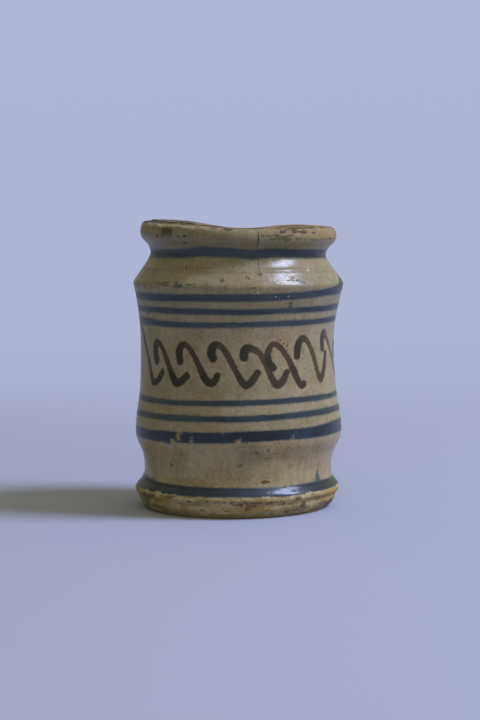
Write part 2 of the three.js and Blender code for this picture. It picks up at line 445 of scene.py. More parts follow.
# The painted bands, from the neck to the flange. Each path says at which height the brush passed at an
# angle, halfWidth is half the brush's mark, and loads says how much blue it carried there.
bands = {
    "neck": {
        "halfWidth": 2.3,
        "path": [(-71, 130.4), (-41, 130.5), (-22, 131.9), (-7, 131.3), (9, 130.2), (24, 130.7), (43, 130.3),
            (73, 129.4), (180, 130.4)],
        "loads": [(-60, 0.45), (-38, 0.5), (-20, 0.55), (0, 0.62), (18, 0.7), (30, 0.78), (42, 0.86), (60, 1),
            (180, 0.6)],
    },
    "shoulderTop": {
        "halfWidth": 1.8, "widening": (84, 15, 2.6),
        "path": [(-53, 109.1), (-26, 109.3), (1, 109.3), (20, 109.4), (35, 109.8), (53, 110.6), (68, 111.4),
            (86, 115.4), (104, 114), (180, 109.6)],
        "loads": [(-60, 0.85), (0, 0.76), (40, 0.76), (54, 0.95), (70, 1), (180, 0.8)],
    },
    "shoulderMiddle": {
        "halfWidth": 1.5,
        "path": [(-54, 102.8), (-27, 102.5), (1, 102.3), (28, 102.6), (56, 102.7), (75, 102.9), (180, 102.2)],
        "loads": [(-60, 0.8), (-12, 0.86), (16, 0.86), (29, 0.62), (42, 0.86), (60, 0.97), (180, 0.8)],
    },
    "shoulderLow": {
        "halfWidth": 1.45, "widening": (-74, 16, 0.7),
        "path": [(-56, 96.3), (-28, 95.9), (1, 96), (29, 96.2), (58, 96.4), (75, 96.7), (180, 95.8)],
        "loads": [(-56, 0.62), (0, 0.64), (28, 0.7), (49, 0.82), (66, 0.92), (180, 0.65)],
    },
    "bellyTop": {
        "halfWidth": 1.4,
        "path": [(-56, 57.1), (-20, 57.5), (7, 57.8), (28, 58), (57, 58.3), (80, 58.3), (180, 57)],
        "loads": [(-60, 0.48), (-27, 0.52), (-16, 0.7), (-7, 0.92), (18, 0.94), (30, 0.86), (66, 1), (180, 0.6)],
    },
    "bellyMiddle": {
        "halfWidth": 1.55,
        "path": [(-54, 49.7), (-20, 49.8), (0, 49.9), (28, 50.7), (55, 51), (71, 51.3), (180, 49.4)],
        "loads": [(-60, 0.54), (-27, 0.58), (-17, 0.74), (-8, 0.98), (28, 0.94), (66, 1), (180, 0.7)],
    },
    "bellyLow": {
        "halfWidth": 2.7, "widening": (80, 30, 0.7),
        "path": [(-53, 39.9), (-27, 40.4), (0, 41.3), (20, 41.5), (43, 41.6), (68, 42.6), (180, 40)],
        "loads": [(-56, 1), (-26, 1), (-8, 1.04), (2, 1.24), (18, 1.24), (28, 1.06), (39, 1), (52, 1.08),
            (180, 0.9)],
    },
    "flange": {
        "halfWidth": 2.25, "widening": (-80, 18, 1.4),
        "path": [(-56, 13.7), (-28, 13.4), (0, 13.4), (28, 13.1), (46, 13.6), (69, 13.5), (180, 13.3)],
        "loads": [(-56, 1.02), (-10, 1), (12, 0.98), (36, 1), (49, 1.12), (180, 0.9)],
    },
}
bandBrush = {"widthWaver": 0.1, "heightWaver": 0.12, "loadShare": 0.96, "loadWaver": 0.05, "seeds": (40, 60, 80)}


def paintBands(mesh):
    angle, height = anglesAndHeights(mesh)
    ink, load = np.full(len(angle), -farOff), np.zeros(len(angle))
    b = bandBrush
    for number, band in enumerate(bands.values()):
        wide, tall, full = (waver(angle, seed + number) for seed in b["seeds"])
        half = band["halfWidth"] + b["widthWaver"] * wide
        if "widening" in band:
            at, spread, by = band["widening"]
            half = half + by * np.exp(-((turnedFrom(angle, at) / spread) ** 2))
        distance = half - np.abs(height - between(band["path"], angle) - b["heightWaver"] * tall)
        carried = between(band["loads"], angle) * (b["loadShare"] + b["loadWaver"] * full)
        load = np.where(distance > ink, carried, load)
        ink = np.maximum(ink, distance)
    writeMask(mesh, "bandInk", np.clip(ink, -farOff, farOff))
    writeMask(mesh, "bandLoad", load)


# The brown scrolls: each stroke starts in a blob, rises over a crest, falls to the right and hooks up again.
# widths says how broad the brush was in each stroke, and darkness how much more of the colour it held. crests
# raises each stroke above crestFrom. Strokes of one shape follow round the back, each a little different.
scrolls = {
    "halfWidths": [(0, 2.1), (0.1, 2.3), (0.18, 1.85), (0.3, 1.5), (0.6, 1.6), (0.76, 2), (0.9, 1.9), (1, 1.75)],
    "loads": [(0, 1), (0.13, 0.95), (0.22, 0.55), (0.34, 0.45), (0.6, 0.6), (0.76, 0.88), (0.9, 0.76), (1, 0.8)],
    "radius": 49.2, "widths": [0.95, 1.08, 1, 1, 1, 1, 1.02, 0.92],
    "darkness": [0, 0.05, 0.08, 0.05, 0, 0, -0.05, 0],
    "strokes": [
        [(-76.5, 91.4), (-73, 88.6), (-69.5, 83.6), (-63.5, 76.1), (-60.3, 69.7), (-57.2, 66.2), (-51.8, 68.2),
         (-48.9, 71.6)],
        [(-54.4, 76.6), (-55.6, 81.5), (-54.4, 84.9), (-49.6, 82.9), (-45, 77.1), (-41.2, 71.3), (-37.6, 66.9),
         (-33.8, 68.1), (-30.3, 70.6)],
        [(-34.9, 77), (-35.5, 80.9), (-34.2, 84), (-30.9, 84.2), (-27.2, 81.4), (-23.1, 75.8), (-19.5, 70.4),
         (-16.1, 67.4), (-13.2, 68.4), (-11.7, 71.2)],
        [(-14.2, 78.6), (-15.2, 80.9), (-13.9, 84), (-11.6, 85), (-8.7, 83.5), (-5.2, 79.2), (-1.5, 73.6),
         (2.1, 68.6), (4.7, 66.3), (8, 68.5), (11.2, 72.2)],
        [(3.6, 79.2), (3.5, 81.4), (5, 83.5), (8.3, 83.3), (12.3, 81.1), (15.5, 77.1), (18, 72.3), (20.5, 68.3),
         (22.9, 66.2), (26.3, 68), (29, 72)],
        [(20.4, 74.4), (17.6, 76.4), (17.3, 80.7), (19.2, 84.4), (21.9, 85.2), (26, 82.7), (30.2, 78), (33.5, 73.2),
         (36.2, 68.4), (39, 65.1), (41, 66)],
        [(36.4, 79.2), (37, 83.2), (39.1, 86.8), (42, 87.4), (46, 84.2), (49.6, 78.8), (52.3, 73.1), (55.5, 67.6),
         (59.2, 70), (62, 75.5), (62.9, 79.2)],
        [(59.4, 81.6), (58.9, 86), (60.4, 89.6), (66.6, 84.8), (73.8, 77.2), (81, 70), (87, 66.4), (92, 70)],
    ],
    "crests": [1.5, 1.5, 1.5, 1.4, 1, 1, 1, 1], "backFrom": 80, "backTo": 258, "backStep": 19, "backSeed": 12,
    "backShape": [(0, 78.6), (-0.8, 81), (0.4, 84), (2.8, 85), (5.6, 83.5), (9.1, 79.2), (12.8, 73.6), (16.4, 68.6),
        (19, 66.3), (22.2, 68.5), (25.4, 72.2)],
    "crestFrom": 70, "crestOver": 12, "backMiddle": 76, "reach": 28, "rowFrom": 58, "rowTo": 98,
}


def strokeThrough(points, steps=12):  # a smooth line through the stroke's points
    p = np.array([points[0], *points, points[-1]], dtype=float)
    line = []
    for before, a, b, after in zip(p[:-3], p[1:-2], p[2:-1], p[3:]):
        for t in np.arange(steps) / steps:
            line.append(0.5 * (2 * a + (b - before) * t + (2 * before - 5 * a + 4 * b - after) * t**2
                               + (3 * a - before - 3 * b + after) * t**3))
    return np.array([*line, p[-1]])


def raised(stroke, by):  # the stroke with its crest this much higher, and its foot where it was
    start, over = scrolls["crestFrom"], scrolls["crestOver"]
    return [(at, height + by * min(max((height - start) / over, 0.0), 1.0)) for at, height in stroke]


def allStrokes():
    s = scrolls
    strokes = [raised(stroke, by) for stroke, by in zip(s["strokes"], s["crests"])]
    random = np.random.default_rng(s["backSeed"])
    start, middle = s["backFrom"], s["backMiddle"]
    while start < s["backTo"]:
        wide, tall, rise = random.uniform(0.9, 1.12), random.uniform(0.9, 1.08), random.uniform(-1.2, 1.4)
        strokes.append([(start + at * wide, middle + (height - middle) * tall + rise)
                        for at, height in s["backShape"]])
        start += s["backStep"] * random.uniform(0.9, 1.12)
    return strokes


def paintScrolls(mesh):
    s = scrolls
    angle, height = anglesAndHeights(mesh)
    ink, load = np.full(len(angle), -farOff), np.zeros(len(angle))
    perDegree = math.radians(s["radius"])
    inRow = (height > s["rowFrom"]) & (height < s["rowTo"])
    for number, stroke in enumerate(allStrokes()):
        line = strokeThrough(stroke)
        run = np.concatenate([[0.0], np.cumsum(np.hypot(np.diff(line[:, 0]) * perDegree, np.diff(line[:, 1])))])
        share = run / run[-1]
        kind = number % len(s["widths"])
        half = np.interp(share, *zip(*s["halfWidths"])) * s["widths"][kind]
        carried = np.interp(share, *zip(*s["loads"])) + s["darkness"][kind]
        near = np.flatnonzero((np.abs(turnedFrom(angle, line[:, 0].mean())) < s["reach"]) & inRow)
        for at, (a, h) in enumerate(line):
            distance = half[at] - np.hypot(turnedFrom(angle[near], a) * perDegree, height[near] - h)
            better = distance > ink[near]
            load[near] = np.where(better, carried[at], load[near])
            ink[near] = np.where(better, distance, ink[near])
    writeMask(mesh, "scrollInk", ink)
    writeMask(mesh, "scrollLoad", load)


# Marks of the kiln and of use. Each mark has its angle, its height, and its half width and half height.
marks = {
    "blueSpots": [(-32.4, 115.2, 1.46, 0.87), (-34.4, 116.4, 0.71, 0.67), (-8, 117.9, 0.86, 0.94),
        (37.1, 116.4, 1.47, 0.57), (56.1, 19.3, 0.64, 3.72), (55.8, 17.8, 1.36, 2.23), (55, 16.4, 2.08, 0.84),
        (30, 105, 0.99, 2.49), (40.7, 48.9, 0.31, 0.97), (-61.4, 100.9, 1.14, 0.77), (-42, 37.5, 2.1, 0.82),
        (4.4, 38.7, 1.4, 0.5), (88, 118, 2.2, 6), (150, 60, 1.2, 3), (-140, 116, 1.6, 1.1), (168, 38, 1.8, 1.2)],
    "rustSpots": [(22.9, 89.8, 0.37, 0.35), (25.1, 88, 0.51, 0.45), (23.3, 86.7, 0.37, 0.35),
        (27.3, 86.3, 0.46, 0.4), (29.5, 85.1, 0.58, 0.74), (29.4, 82.9, 0.46, 0.44), (15.5, 18.1, 1.58, 0.59),
        (17.3, 18.2, 1.1, 0.34), (22.4, 37.7, 0.65, 0.4), (-53.7, 139.3, 1.26, 0.6), (120, 30, 1, 0.8),
        (-150, 90, 0.8, 0.6)],
    "dullSpots": [(-34, 31.4, 0.9, 0.75), (-43.1, 25.5, 1.13, 0.67), (1, 26.8, 0.76, 0.62), (16.3, 34.3, 0.8, 0.73),
        (9.9, 33.1, 0.74, 0.79), (16.1, 29.9, 0.36, 0.32), (18.8, 30, 0.38, 0.32), (21.1, 32.5, 0.53, 0.42),
        (-37.1, 89.4, 0.38, 0.3), (8.4, 93.6, 0.25, 1.09), (23.9, 35.8, 0.61, 0.41), (11.9, 31, 0.4, 0.42),
        (140, 78, 0.9, 0.8), (-110, 28, 1, 0.8), (175, 120, 0.8, 0.7)],
    "pits": [(10.3, 121.3, 0.5, 0.28), (6.4, 123.5, 0.41, 0.29), (2.4, 121.4, 0.39, 0.28), (4.4, 121.7, 0.5, 0.24),
        (4.6, 119.3, 0.63, 0.33), (6.2, 118.7, 0.48, 0.43), (7.3, 116.8, 0.37, 0.28), (7.6, 120.9, 0.34, 0.19),
        (28.5, 117.4, 0.43, 0.28), (30.5, 118.3, 0.44, 0.28), (32.7, 118.5, 0.44, 0.24), (31.4, 117.5, 0.38, 0.24),
        (34.3, 117.3, 0.53, 0.28), (-130, 119, 0.5, 0.4)],
    "paleFlecks": [(45.6, 122, 0.88, 0.76), (11, 111.9, 0.56, 0.74), (12.3, 115.3, 0.37, 0.38),
        (13.6, 113.3, 0.37, 0.39), (14.7, 116.1, 0.42, 0.33), (15.4, 114.5, 0.32, 0.29), (20.8, 109.8, 0.45, 0.3),
        (28, 109.7, 0.48, 0.45), (26.2, 107.3, 0.43, 0.25), (23.1, 108.7, 0.3, 0.25)],
    "darkStrokes": [(-25.9, 115.8, 2.22, 0.29), (-22.3, 114.8, 0.69, 0.19), (-50, 117, 1.63, 0.24),
        (-41.7, 116.7, 1.69, 0.29), (-42.8, 115.2, 2.01, 0.24), (-46.6, 116.2, 1.63, 0.19),
        (-31.7, 124.1, 0.6, 1.15), (-60.2, 114.1, 0.44, 0.71), (7.8, 114.2, 1.81, 0.29), (-2.1, 124.3, 0.52, 0.29),
        (13, 120.6, 1.1, 0.43)],
    "darkSmudges": [(-48.8, 140.5, 0.75, 2.58), (-46, 140.4, 0.67, 2.67), (-43.5, 140.5, 0.65, 2.66),
        (-41, 140.7, 0.64, 2.55), (-45.2, 142, 3.81, 1.28), (-31, 139.5, 1.04, 0.59), (-35, 139.1, 0.77, 0.49),
        (-32, 136.2, 0.95, 0.4)],
    "palePatches": [(-26.2, 118.2, 2.17, 1.89), (-19.4, 118.6, 3.05, 1.89), (-31.4, 121.3, 1.7, 0.95),
        (64.7, 118.7, 2.73, 1.88), (-0.3, 123.9, 2.05, 0.48), (29.2, 141, 1.41, 0.73), (160, 84, 5, 3)],
    "orangePatches": [(-43.1, 124.7, 2.65, 0.96), (-37.4, 122.4, 1.91, 1.19), (-33.8, 119.5, 3.05, 0.95),
        (-16.2, 126.6, 1.69, 0.86), (53.7, 119.9, 2.11, 1.89), (13.3, 114.8, 2.79, 1.92),
        (-21.2, 137.5, 3.25, 1.48), (-14, 137.9, 2.53, 1.47), (46.6, 126.1, 6.22, 1.2), (7.2, 117.2, 4.19, 2.36),
        (-6.1, 46.8, 1.41, 0.77), (43, 47.1, 1.71, 0.73), (48.1, 24, 3.11, 1.54), (1.1, 17.1, 13.24, 0.86),
        (9.3, 105.5, 6.25, 0.79), (-17.8, 47.1, 7.02, 1.45), (27.2, 87.7, 4.6, 3.96), (-12.8, 46.3, 2.88, 0.97),
        (-49, 54.9, 7.76, 1.47), (-32.1, 17.7, 5.87, 0.98), (14.3, 20.8, 4.22, 2.01), (135, 28, 6, 3),
        (-120, 104, 5, 1.4)],
    "olivePatches": [(-61.6, 128.1, 4.9, 0.73), (-10.4, 136.3, 1.55, 0.79), (-5, 137.5, 1.72, 0.98),
        (-0.3, 126.3, 3.71, 1.2), (37.2, 135.7, 8.95, 1.51), (-21.4, 91.1, 4.25, 2.96), (1.7, 93.7, 3.92, 2.47),
        (-56.8, 44.9, 6.41, 2), (0.4, 36.5, 1.87, 1), (9.6, 31.6, 6.95, 3.69), (31.1, 107.9, 1.62, 1.24),
        (30.6, 102, 1.66, 1.49), (-12.2, 42.1, 3.82, 0.98), (-66, 130.4, 5, 1.6), (145, 96, 5, 3)],
    "lostGlaze": [(-34.6, 40.8, 1.32, 2.57), (-37.2, 38.1, 1.83, 1.43), (-33.4, 42.3, 0.72, 1.48),
        (-25.8, 38.2, 0.32, 1.11), (0.4, 39, 1.3, 1), (31, 39.7, 0.27, 0.89), (29.7, 39, 0.22, 0.61),
        (-8.4, 45.9, 0.29, 0.73), (-160, 112, 2.4, 1.6)],
    "rimPale": [(-59, 144.4, 4.59, 0.44), (-48.4, 145.3, 3.12, 0.45), (-40.4, 145, 2.15, 0.56),
        (-33.1, 144.8, 2.79, 0.37), (-27.9, 144.5, 1.65, 0.4), (-21.9, 144.1, 2, 0.36), (-16.2, 143.5, 2.52, 0.37),
        (-8.5, 142.9, 1.79, 0.28), (38.1, 139.9, 1.25, 0.73), (42.9, 139.2, 2.5, 0.59), (46.6, 140, 2.88, 0.49),
        (70.6, 138.8, 4.84, 1.49), (150, 141, 5, 1)],
    "rimDark": [(-13.6, 143.5, 2.05, 0.37), (-5.4, 142.5, 2.01, 0.47), (27.1, 141.2, 1.98, 0.68),
        (34.1, 141.2, 1.25, 0.88), (40.1, 140.9, 2.51, 0.73), (29.8, 142.2, 1.12, 0.48), (48.8, 140.5, 1.44, 0.44),
        (-160, 142, 4, 0.7)],
    "rimGreen": [(21.7, 139.5, 2.62, 0.53), (26.7, 138.8, 2.24, 0.49), (31.1, 139.1, 1.4, 0.49),
        (41.3, 142.9, 4.84, 0.32), (33.2, 142.6, 2.64, 0.39)],
    "rimGold": [(45.5, 141.4, 2.9, 0.63), (59.3, 141.5, 3.38, 0.63), (53.6, 138.9, 6.93, 0.98),
        (63.1, 139.7, 5.62, 1.48)],
    # The next spots lay the top of the lip darker, most at the left and the back.
    "rimTopDarken": [(-96, 147.3, 26, 2), (-66, 147, 20, 1.7), (-47, 146.8, 16, 1.6), (-30, 146, 12, 1.3),
        (-14, 144.9, 10, 1.1), (46, 143.2, 18, 0.7), (170, 142.4, 14, 0.7)],
    "rimLine": [(22.1, 138, 2.1, 0.22), (26.2, 137.8, 1.4, 0.22), (29.5, 137.5, 1.7, 0.34),
        (28.6, 136.5, 1.13, 0.25), (37.3, 137.8, 2.5, 0.22), (50.1, 136.8, 4.17, 0.22), (61.5, 137.3, 4.51, 0.23),
        (18, 139.4, 2.09, 0.19)],
}

# Marks on the foot, which run over the edge of the glaze on to the bare clay.
footMarks = {
    "footRed": [(9.9, 8.1, 3.5, 0.67), (16.8, 8, 4.21, 0.56), (5, 5.6, 1.09, 1.05), (7.8, 6.8, 1.51, 0.64),
        (-58, 9.1, 4.43, 1.18), (-40, 10.2, 4.04, 0.63), (25.1, 7, 2.31, 0.55), (130, 7, 5, 1), (-120, 8, 4, 1)],
    "footGold": [(63.6, 10, 7.45, 2.88), (62.4, 7, 6.56, 2.15), (13.2, 9.6, 1.92, 1.05), (14.3, 5, 5.14, 1.32),
        (72.7, 11.4, 3.39, 1.67), (-49.6, 7.6, 5.21, 2.4), (1, 3.8, 5.01, 1.07), (165, 7, 8, 2.4)],
    "footPale": [(-8.7, 10.5, 6.55, 0.81), (-7.3, 7.5, 4.37, 0.89), (30.2, 8.8, 3.41, 0.88),
        (38.7, 10.2, 4.23, 0.83), (-30.3, 9.3, 5.11, 1.91), (3.7, 10.7, 3.79, 0.7), (22.1, 5.9, 5.41, 0.95),
        (-23.5, 4.9, 3.75, 1.06), (46.6, 6.2, 3.88, 1.64), (-57.4, 11.5, 2.56, 0.44), (-44, 11.3, 5.41, 0.37),
        (48.2, 10.8, 5.86, 0.47), (100, 9, 7, 1.5), (-150, 8, 8, 1.6)],
    "footPits": [(-12.8, 8.6, 0.64, 0.43), (-10.6, 8, 0.54, 0.39), (-7.8, 8.5, 0.72, 0.38), (-5.4, 8.1, 0.58, 0.39),
        (-2.8, 8.9, 0.62, 0.42), (-21.2, 4, 0.65, 0.54), (-53, 10.3, 1.17, 0.63), (-28.3, 8.7, 0.68, 0.56),
        (40, 5.8, 1.76, 1.08), (34.8, 9.5, 1.38, 0.89), (28.9, 2.5, 1.85, 0.56), (-0.1, 7.5, 1.94, 0.44),
        (3.2, 8.6, 0.96, 0.54), (71.1, 2.8, 5.46, 2.25), (110, 7, 1.5, 0.9), (-135, 7.4, 1.4, 0.7)],
    "footGrey": [(60.7, 3, 7.17, 2.24), (56.2, 1.4, 7.16, 1.24), (-65.3, 6.4, 4.39, 3.51), (-54, 4, 5.71, 1.16),
        (39.2, 3.8, 5.45, 1.67), (-100, 6, 8, 3)],
}
marksRadius = 50.0  # at which the marks' widths were taken

# A crack that runs down from the lip. perDegree is how many millimetres a degree is at its radius.
crack = {
    "path": [(12, 146), (12.2, 140), (11.9, 136), (12.6, 129), (12.8, 124), (12.6, 119), (12.2, 113)],
    "halfWidth": 0.3, "middle": 12, "reach": 8, "above": 108, "perDegree": 0.86,
}

# Below which height the glaze is rough and pale round the foot, above which it is worn off the lip, and
# above which it is only rubbed thin.
edges = {
    "crust": [(-90, 11), (-56, 11.4), (-28, 11), (0, 10.9), (28, 10.7), (46, 11.3), (69, 11.2), (180, 10.8)],
    "wear": [(-90, 145.9), (-60, 145.8), (-30, 145), (-8, 143), (8, 142.8), (22, 142.2), (34, 142.2), (60, 142.3),
        (80, 142), (120, 142.2), (180, 141.6), (-130, 143.6)],
    "rubbed": [(-90, 150), (-30, 150), (0, 144), (12, 141), (20, 138.6), (30, 137.6), (60, 137.1), (84, 137),
        (112, 140), (140, 142), (180, 141), (-130, 146)],
}

# The low ridge that the thrower's rib left where the shoulder turns in towards the neck.
ripple = {
    "path": [(-90, 123.4), (-30, 123), (0, 122.8), (26, 122.4), (40, 121.9), (90, 121.4), (180, 122.8)],
    "halfWidth": 1,
}


def writeSpots(mesh, marks):  # how far inside the nearest spot of each kind each point lies
    angle, height = anglesAndHeights(mesh)
    for name, spots in marks.items():
        within = np.full(len(angle), -farOff)
        for at, centre, halfWidth, halfHeight in spots:
            across = np.radians(turnedFrom(angle, at)) * marksRadius / halfWidth
            up = (height - centre) / halfHeight
            within = np.maximum(within, min(halfWidth, halfHeight) * (1.0 - np.hypot(across, up)))
        writeMask(mesh, name, within)


def paintMarks(mesh):
    writeSpots(mesh, marks)
    angle, height = anglesAndHeights(mesh)
    for name in ("wear", "rubbed"):
        writeMask(mesh, name, np.clip(height - between(edges[name], angle), -farOff, farOff))
    c = crack
    away = np.full(len(angle), farOff)
    near = np.flatnonzero((np.abs(turnedFrom(angle, c["middle"])) < c["reach"]) & (height > c["above"]))
    for at, centre in strokeThrough(c["path"]):
        across = turnedFrom(angle[near], at) * c["perDegree"]
        away[near] = np.minimum(away[near], np.hypot(across, height[near] - centre))
    writeMask(mesh, "crack", c["halfWidth"] - away)
    writeMask(mesh, "ripple", np.exp(-(((height - between(ripple["path"], angle)) / ripple["halfWidth"]) ** 2)))


def paintFoot(mesh):
    angle, height = anglesAndHeights(mesh)
    writeMask(mesh, "crusty", np.clip(between(edges["crust"], angle) - height, -farOff, farOff))
    writeSpots(mesh, footMarks)


def shade(red, green, blue):  # a colour as it is seen, from 0 to 255, for a colour socket
    shares = red / 255, green / 255, blue / 255
    return (*(c / 12.92 if c <= 0.04045 else ((c + 0.055) / 1.055) ** 2.4 for c in shares), 1.0)


def shades(tones):
    return {name: shade(*rgb) for name, rgb in tones.items()}


def mixed(share, first, second):
    return node("ShaderNodeMix", {0: share, 6: first, 7: second}, data_type="RGBA").outputs[2]


def eased(value, low, high, toLow=0.0, toHigh=1.0):
    inputs = {"Value": value, "From Min": low, "From Max": high, "To Min": toLow, "To Max": toHigh}
    return node("ShaderNodeMapRange", inputs, interpolation_type="SMOOTHSTEP").outputs[0]


def ramp(value, stops):  # eased from one colour to the next as the value rises from stop to stop
    made = node("ShaderNodeValToRGB", {"Fac": value})
    made.color_ramp.interpolation = "EASE"
    for place, colour in stops[1:-1]:
        made.color_ramp.elements.new(place).color = colour
    ends = made.color_ramp.elements
    ends[0].position, ends[0].color = stops[0]
    ends[-1].position, ends[-1].color = stops[-1]
    return made.outputs["Color"]


def noiseOf(place, size, detail=2.0, rough=0.5):  # size is how wide its patches are, in metres
    inputs = {"Vector": place, "Scale": 1.0 / size, "Detail": detail, "Roughness": rough}
    return node("ShaderNodeTexNoise", inputs).outputs[0]


def stretched(place, x, y, z):
    return node("ShaderNodeMapping", {"Vector": place, "Scale": (x, y, z)}).outputs[0]


def shifted(place, offset):
    return node("ShaderNodeMapping", {"Vector": place, "Location": (offset, offset, offset)}).outputs[0]


def patch(place, offset, size, low, high):  # soft patches, of which more show as low and high fall
    return eased(noiseOf(shifted(place, offset), size, 3.0, 0.6), low, high)


def attribute(name):
    return node("ShaderNodeAttribute", attribute_name=name).outputs["Fac"]


def heightOf(place):
    return node("ShaderNodeSeparateXYZ", {0: place}).outputs[2]


def summed(*terms):  # the sum of each value times its weight
    total = 0.0
    for value, weight in terms:
        total = node("ShaderNodeMath", {0: value, 1: weight, 2: total}, operation="MULTIPLY_ADD").outputs[0]
    return total


def layered(colour, tone, *layers):  # tones over a colour: each where its share says, and at most this strong
    for share, strength, name in layers:
        colour = mixed(times(share, strength), colour, tone[name])
    return colour


def newGroup(name):
    return opened(bpy.data.node_groups.new(name, "ShaderNodeTree"))


def placed(group, place, **inputs):
    return node("ShaderNodeGroup", {"Place": place, **inputs}, node_tree=group).outputs


# Patches, flecks and runs in the fired surface, which every material of the jar has in its own strength.
def buildMottle():
    tree = newGroup("mottle")
    place = groupInputs({"Place": "Vector"})["Place"]
    groupOutputs({
        "Broad": eased(noiseOf(place, 0.034, 3.0), 0.34, 0.66),
        "Middle": eased(noiseOf(place, 0.0085, 3.0, 0.6), 0.36, 0.66),
        "Fine": eased(noiseOf(place, 0.0016, 3.0, 0.65), 0.32, 0.7),
        "Runs": eased(noiseOf(stretched(place, 1.0, 1.0, 0.12), 0.0032, 3.0, 0.6), 0.35, 0.68),
        "Turns": eased(noiseOf(stretched(place, 0.1, 0.1, 1.0), 0.0024, 3.0, 0.6), 0.35, 0.68),
    })
    return tree


# Pinholes, grains and specks: a scatter of round spots, of which only a share show.
def buildSpecks():
    tree = newGroup("specks")
    given = groupInputs({"Place": "Vector", "Spacing": 0.004, "Size": 0.12, "Share": 0.3})
    scale = calc("DIVIDE", 1.0, given["Spacing"])
    cells = node("ShaderNodeTexVoronoi", {"Vector": given["Place"], "Scale": scale}).outputs
    draw = node("ShaderNodeSeparateColor", {0: cells["Color"]}).outputs
    shown = calc("LESS_THAN", draw[0], given["Share"])
    radius = times(given["Size"], calc("ADD", times(draw[1], 0.8), 0.4))
    depth = calc("DIVIDE", calc("SUBTRACT", radius, cells["Distance"]), radius)
    groupOutputs({"Spot": times(eased(depth, 0.0, 0.6), shown)})
    return tree


# Fine cracks that run through a glaze as it cools, broken off here and there.
def buildCrackle():
    tree = newGroup("crackle")
    given = groupInputs({"Place": "Vector", "Size": 0.005, "Width": 0.02})
    bend = {0: noiseOf(given["Place"], 0.006), "Scale": 0.004}
    bent = node("ShaderNodeVectorMath", bend, operation="SCALE").outputs[0]
    place = node("ShaderNodeVectorMath", {0: given["Place"], 1: bent}, operation="ADD").outputs[0]
    inputs = {"Vector": place, "Scale": calc("DIVIDE", 1.0, given["Size"])}
    edge = node("ShaderNodeTexVoronoi", inputs, feature="DISTANCE_TO_EDGE").outputs["Distance"]
    unbroken = eased(noiseOf(given["Place"], 0.012), 0.42, 0.6)
    groupOutputs({"Line": times(calc("SUBTRACT", 1.0, eased(edge, 0.0, given["Width"])), unbroken)})
    return tree


# The fired clay where it is bare: buff, with paler and browner patches and fine grains, and darker at the top of the
# lip.
biscuitTones = {"clay": (146, 125, 96), "light": (174, 153, 120), "brown": (112, 93, 69), "grain": (80, 66, 48),
                "topDarken": (66, 56, 40)}
# Between these heights the bare clay turns darker towards the top of the lip.
topDarkenedFrom, topDarkenedAt = 0.1436, 0.1456  # heights, in metres


def buildBiscuit():
    tree = newGroup("biscuit")
    tone = shades(biscuitTones)
    place = groupInputs({"Place": "Vector"})["Place"]
    mottle = placed(mottleGroup, shifted(place, 0.63))
    grains = placed(specksGroup, place, Spacing=0.0016, Size=0.24, Share=0.25)["Spot"]
    patches = patch(stretched(place, 1.0, 1.0, 2.2), 0.0, 0.0042, 0.48, 0.64)
    dirty = patch(place, 0.27, 0.0065, 0.5, 0.62)
    topDarkened = times(eased(heightOf(place), topDarkenedFrom, topDarkenedAt), patch(place, 0.52, 0.009, 0.26, 0.5))
    colour = layered(
        tone["clay"], tone, (mottle["Turns"], 0.4, "brown"), (patches, 0.6, "light"),
        (mottle["Fine"], 0.35, "brown"), (dirty, 0.55, "grain"), (grains, 0.6, "grain"), (topDarkened, 0.78, "topDarken"))
    relief = summed((mottle["Fine"], 0.5), (mottle["Middle"], 0.5), (grains, -0.4))
    groupOutputs({"Color": colour, "Relief": relief})
    return tree


# The rough foot: thin glaze burnt on to grit, buff and olive, with pale runs and brown hollows.
crustTones = {"olive": (150, 136, 92), "buff": (178, 160, 114), "pale": (200, 185, 142), "brown": (126, 102, 64),
              "red": (116, 72, 52), "gold": (174, 138, 64), "grey": (104, 100, 80), "hollow": (62, 49, 30)}


def buildCrust():
    tree = newGroup("crust")
    tone = shades(crustTones)
    place = groupInputs({"Place": "Vector"})["Place"]
    mottle = placed(mottleGroup, shifted(place, 0.45))
    fine, middle = mottle["Fine"], mottle["Middle"]
    smeared = stretched(place, 1.0, 1.0, 1.6)
    pale = patch(smeared, 0.4, 0.0066, 0.48, 0.66)
    burnt = patch(smeared, 0.7, 0.0046, 0.54, 0.68)
    grit = times(patch(place, 0.1, 0.0018, 0.5, 0.64), burnt)
    grains = placed(specksGroup, place, Spacing=0.0015, Size=0.3, Share=0.22)["Spot"]

    def marked(name):
        return eased(summed((attribute(name), 1.0), (fine, 0.9), (middle, 0.6), (1.0, -0.6)), -0.3, 0.3)

    colour = mixed(patch(smeared, 0.2, 0.014, 0.4, 0.6), tone["olive"], tone["buff"])
    colour = layered(
        colour, tone, (pale, 0.45, "pale"), (burnt, 0.4, "brown"), (marked("footGrey"), 0.7, "grey"),
        (marked("footGold"), 0.55, "gold"), (marked("footPale"), 0.6, "pale"), (marked("footRed"), 0.75, "red"),
        (marked("footPits"), 0.75, "hollow"), (grit, 0.55, "hollow"), (fine, 0.22, "brown"), (grains, 0.3, "hollow"))
    relief = summed((pale, 0.4), (burnt, -0.4), (grit, -0.7), (grains, -0.3), (fine, 0.35))
    groupOutputs({"Color": colour, "Relief": relief})
    return tree


def newMaterial(name):
    material = bpy.data.materials.new(name)
    material.use_nodes = True
    opened(material.node_tree).nodes.clear()
    return material


def objectPlace():
    return node("ShaderNodeTexCoord").outputs["Object"]


def finished(colour, roughness, relief, depth, shine, gloss):  # depth is the relief's, in metres
    bump = node("ShaderNodeBump", {"Height": relief, "Distance": depth, "Strength": 1.0}).outputs[0]
    inputs = {"Base Color": colour, "Roughness": roughness, "Normal": bump, "Specular IOR Level": shine,
              "Coat Weight": gloss, "Coat Roughness": 0.08, "Coat Normal": bump}
    surface = node("ShaderNodeBsdfPrincipled", inputs).outputs[0]
    node("ShaderNodeOutputMaterial", {"Surface": surface})


